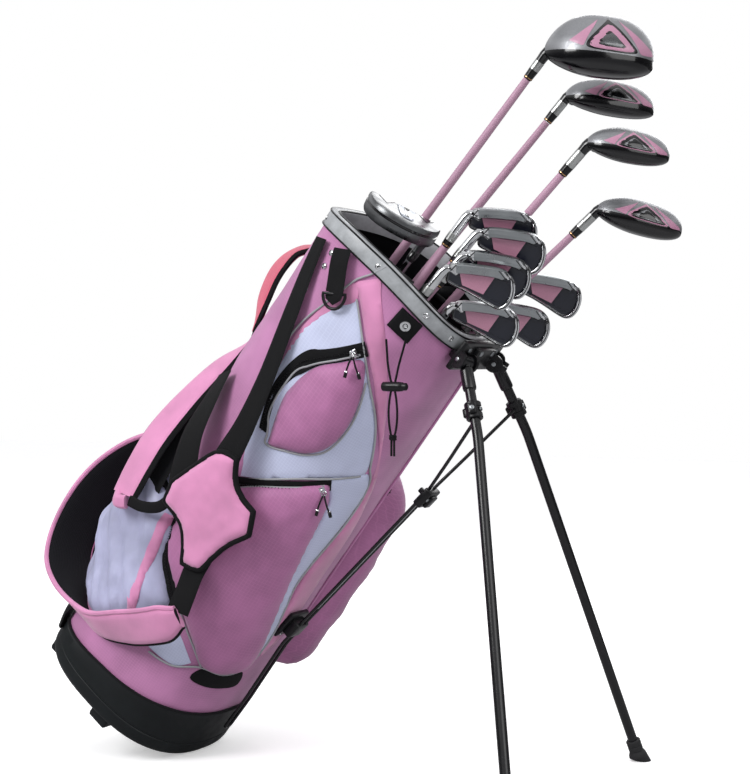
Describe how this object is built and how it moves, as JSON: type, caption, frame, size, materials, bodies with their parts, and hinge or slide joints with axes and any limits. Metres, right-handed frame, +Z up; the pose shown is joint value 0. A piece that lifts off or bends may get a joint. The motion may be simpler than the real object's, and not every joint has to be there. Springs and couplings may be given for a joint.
{
  "type": "golf club set",
  "caption": "Stand bag leaning on two folding legs, holding woods, hybrids, irons and a mallet putter, each free to slide out.",
  "frame": {"origin": "middle of the flat on the boot heel that rests on the floor", "axes": "+Z up, +X the way the bag leans (toward its legs), +Y toward the far leg"},
  "size_m": [0.9162, 0.505, 1.0435],
  "materials": {
    "boot_plastic": "moulded, slightly worn",
    "pink_ripstop": "ripstop nylon, padded",
    "white_fabric": "coated weave",
    "strap_padding": "padded weave with black mesh lining",
    "handle_padding": "padded webbing",
    "black_webbing": "woven nylon",
    "rim_silver": "satin silver",
    "stay": "glass-fibre rod",
    "black_hardware": "moulded",
    "leg_tube": "gloss black paint",
    "foot_rubber": "moulded",
    "zip_metal": "bright plated",
    "wood_head": "gloss black with silver sole",
    "iron_head": "polished and satin",
    "putter_metal": "satin grey",
    "graphite_shaft": "pink lacquered graphite, black rubber grip",
    "steel_shaft": "polished steel, black rubber grip"
  },
  "bodies": {
    "bag": {"boot": "boot_plastic", "near_side_wall": "pink_ripstop", "far_side_wall": "pink_ripstop", "upper_pocket": "pink_ripstop", "lower_pocket": "pink_ripstop", "far_pocket": "pink_ripstop", "ball_pocket": "white_fabric", "upper_shoulder_strap": "strap_padding", "lower_shoulder_strap": "strap_padding", "strap_hub": "strap_padding", "lift_handle": "handle_padding", "top_webbing": "black_webbing", "d_ring_tab": "black_webbing", "snap_patch": "black_webbing", "mouth_divider": "black_webbing", "drawcord": "black_webbing", "cord_knot": "black_webbing", "collar": "rim_silver", "spine_stay": "stay", "stand_bracket": "black_hardware", "rod_guide": "black_hardware"},
    "driver": {"driver_head": "wood_head", "driver_shaft": "graphite_shaft"},
    "fairway_wood": {"fairway_wood_head": "wood_head", "fairway_wood_shaft": "graphite_shaft"},
    "low_hybrid": {"low_hybrid_head": "wood_head", "low_hybrid_shaft": "graphite_shaft"},
    "high_hybrid": {"high_hybrid_head": "wood_head", "high_hybrid_shaft": "graphite_shaft"},
    "iron_a": {"iron_a_head": "iron_head", "iron_a_shaft": "graphite_shaft"},
    "iron_b": {"iron_b_head": "iron_head", "iron_b_shaft": "graphite_shaft"},
    "iron_c": {"iron_c_head": "iron_head", "iron_c_shaft": "graphite_shaft"},
    "iron_d": {"iron_d_head": "iron_head", "iron_d_shaft": "graphite_shaft"},
    "iron_e": {"iron_e_head": "iron_head", "iron_e_shaft": "graphite_shaft"},
    "iron_f": {"iron_f_head": "iron_head", "iron_f_shaft": "graphite_shaft"},
    "iron_g": {"iron_g_head": "iron_head", "iron_g_shaft": "graphite_shaft"},
    "putter": {"putter_head": "putter_metal", "putter_shaft": "steel_shaft"},
    "leg_near": {"leg_near": "leg_tube", "leg_clamp_near": "black_hardware", "foot_near": "foot_rubber"},
    "leg_far": {"leg_far": "leg_tube", "leg_clamp_far": "black_hardware", "foot_far": "foot_rubber"},
    "push_rod": {"push_rod": "leg_tube", "rod_clip": "black_hardware"},
    "upper_zip": {"upper_zip_slider": "zip_metal"},
    "lower_zip": {"lower_zip_slider": "zip_metal"},
    "d_ring": {"d_ring": "black_hardware"},
    "cord_toggle": {"cord_toggle": "black_hardware"}
  },
  "joints": [
    {"name": "driver_draw", "type": "slide", "parent": "bag", "child": "driver", "axis": [0.6397, 0.0242, 0.7682], "range_m": [0, 0.765]},
    {"name": "fairway_wood_draw", "type": "slide", "parent": "bag", "child": "fairway_wood", "axis": [0.6382, 0.1272, 0.7593], "range_m": [0, 0.765]},
    {"name": "low_hybrid_draw", "type": "slide", "parent": "bag", "child": "low_hybrid", "axis": [0.686, 0.045, 0.7262], "range_m": [0, 0.595]},
    {"name": "high_hybrid_draw", "type": "slide", "parent": "bag", "child": "high_hybrid", "axis": [0.7309, 0.1053, 0.6743], "range_m": [0, 0.555]},
    {"name": "iron_a_draw", "type": "slide", "parent": "bag", "child": "iron_a", "axis": [0.6269, 0.0111, 0.779], "range_m": [0, 0.07]},
    {"name": "iron_b_draw", "type": "slide", "parent": "bag", "child": "iron_b", "axis": [0.6679, 0.0375, 0.7433], "range_m": [0, 0.125]},
    {"name": "iron_c_draw", "type": "slide", "parent": "bag", "child": "iron_c", "axis": [0.6911, 0.0467, 0.7212], "range_m": [0, 0.765]},
    {"name": "iron_d_draw", "type": "slide", "parent": "bag", "child": "iron_d", "axis": [0.6666, 0.0217, 0.7451], "range_m": [0, 0.455]},
    {"name": "iron_e_draw", "type": "slide", "parent": "bag", "child": "iron_e", "axis": [0.6629, 0.0513, 0.747], "range_m": [0, 0.011]},
    {"name": "iron_f_draw", "type": "slide", "parent": "bag", "child": "iron_f", "axis": [0.6791, 0.0784, 0.7298], "range_m": [0, 0.14]},
    {"name": "iron_g_draw", "type": "slide", "parent": "bag", "child": "iron_g", "axis": [0.6882, 0.0565, 0.7233], "range_m": [0, 0.095]},
    {"name": "putter_draw", "type": "slide", "parent": "bag", "child": "putter", "axis": [0.6487, 0.023, 0.7607], "range_m": [0, 0.27]},
    {"name": "leg_near_fold", "type": "hinge", "parent": "bag", "child": "leg_near", "pos_m": [0.45282, -0.05, 0.57787], "axis": [0.274, 0.9357, -0.2222], "range_deg": [0, 51]},
    {"name": "leg_far_fold", "type": "hinge", "parent": "bag", "child": "leg_far", "pos_m": [0.45282, 0.05, 0.57787], "axis": [-0.274, 0.9357, 0.2222], "range_deg": [0, 51]},
    {"name": "push_rod_drop", "type": "slide", "parent": "bag", "child": "push_rod", "axis": [-0.7129, 0, -0.7012], "range_m": [0, 0.036]},
    {"name": "upper_zip_pull", "type": "slide", "parent": "bag", "child": "upper_zip", "axis": [-0.9896, -0.0554, -0.1325], "range_m": [0, 0.07]},
    {"name": "lower_zip_pull", "type": "slide", "parent": "bag", "child": "lower_zip", "axis": [-0.9465, -0.3225, 0.0137], "range_m": [0, 0.1]},
    {"name": "d_ring_swing", "type": "hinge", "parent": "bag", "child": "d_ring", "pos_m": [0.3053, -0.1405, 0.6671], "axis": [-0.9936, 0, 0.1132], "range_deg": [0, 90]},
    {"name": "toggle_slide", "type": "slide", "parent": "bag", "child": "cord_toggle", "axis": [-0.004, 0, -1], "range_m": [-0.006, 0.045]}
  ],
  "couplings": [
    {"joint": "leg_far_fold", "follows": "leg_near_fold", "ratio": 1},
    {"joint": "push_rod_drop", "follows": "leg_near_fold", "m_per_rad": 0.0404}
  ]
}
